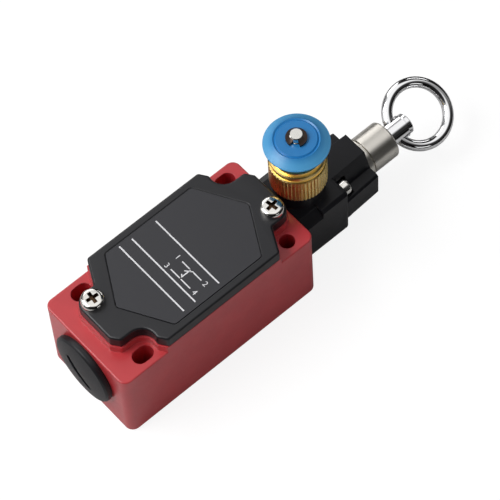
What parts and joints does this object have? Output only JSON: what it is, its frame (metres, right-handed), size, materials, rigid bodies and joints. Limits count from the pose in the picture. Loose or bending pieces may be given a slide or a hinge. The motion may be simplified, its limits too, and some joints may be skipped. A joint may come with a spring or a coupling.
{
  "type": "rope pull switch",
  "caption": "Metal-bodied rope pull switch with a swivelling pull ring, a latching head and a knurled reset knob on top.",
  "frame": {"origin": "on the flat back mounting face, at the centre of the four fixing holes", "axes": "+Z out of the front cover, +Y along the pull axis from the conduit plug towards the ring, +X across the body"},
  "size_m": [0.0396, 0.1588, 0.0597],
  "materials": {
    "red_paint": "satin",
    "black_cover": "fine grain",
    "panel_film": "smooth",
    "black_paint": "semi-gloss",
    "black_rubber": "matte",
    "bright_nickel": "polished",
    "satin_nickel": "turned",
    "mirror_chrome": "mirror",
    "spring_steel": "drawn wire",
    "golden_brass": "turned and knurled",
    "blue_knob": "satin",
    "dark_spring_steel": "phosphated",
    "silver_contact": "polished",
    "black_moulding": "moulded",
    "pale_moulding": "moulded"
  },
  "bodies": {
    "switch_body": {"housing": "red_paint", "cover": "black_cover", "name_panel": "panel_film", "cover_gasket": "black_rubber", "cover_screws": "bright_nickel", "conduit_plug": "black_moulding", "plug_seal": "black_rubber", "head_housing": "black_paint", "head_gasket": "black_rubber", "head_screws": "bright_nickel", "spring_washers": "bright_nickel", "guide_sleeve": "satin_nickel", "rod_wiper": "black_rubber", "rod_spring": "spring_steel", "knurled_bush": "golden_brass", "bush_seal": "black_rubber", "latch_spring": "spring_steel", "lip_seal": "black_rubber", "contact_base": "black_moulding", "carrier_spring": "spring_steel", "terminals_nc": "golden_brass", "terminals_no": "golden_brass", "fixed_tips": "silver_contact", "terminal_clamps": "satin_nickel", "terminal_screws": "satin_nickel", "block_screws": "satin_nickel", "earth_screw": "golden_brass", "earth_clamp": "golden_brass"},
    "pull_rod": {"pull_rod": "satin_nickel", "swivel_pin": "spring_steel"},
    "eye_stem": {"eye_stem": "mirror_chrome"},
    "eye_ring": {"eye_ring": "mirror_chrome"},
    "contact_carrier": {"transfer_plunger": "satin_nickel", "contact_carrier": "pale_moulding", "contact_bridges": "golden_brass", "bridge_tips": "silver_contact", "contact_springs": "spring_steel"},
    "reset_knob": {"latch_pin": "bright_nickel", "reset_knob": "blue_knob", "e_clip": "dark_spring_steel"}
  },
  "joints": [
    {"name": "rod_pull", "type": "slide", "parent": "switch_body", "child": "pull_rod", "axis": [0, 1, 0], "range_m": [0, 0.0055], "stiffness_N_per_m": 4000, "springref_m": -0.005, "deforming": ["rod_spring"]},
    {"name": "stem_swivel", "type": "hinge", "parent": "pull_rod", "child": "eye_stem", "pos_m": [0, 0.07, 0.0154], "axis": [0, 1, 0], "continuous": true},
    {"name": "ring_swing", "type": "hinge", "parent": "eye_stem", "child": "eye_ring", "pos_m": [0, 0.08985, 0.0154], "axis": [0.8829, 0, -0.4695], "range_deg": [-70, 70]},
    {"name": "contacts_travel", "type": "slide", "parent": "switch_body", "child": "contact_carrier", "axis": [0, 1, 0], "range_m": [0, 0.0055], "deforming": ["carrier_spring"]},
    {"name": "knob_lift", "type": "slide", "parent": "switch_body", "child": "reset_knob", "axis": [0, 0, 1], "range_m": [0, 0.004], "stiffness_N_per_m": 900, "springref_m": -0.006, "deforming": ["latch_spring"]}
  ],
  "couplings": [
    {"joint": "contacts_travel", "follows": "rod_pull", "ratio": 1}
  ]
}
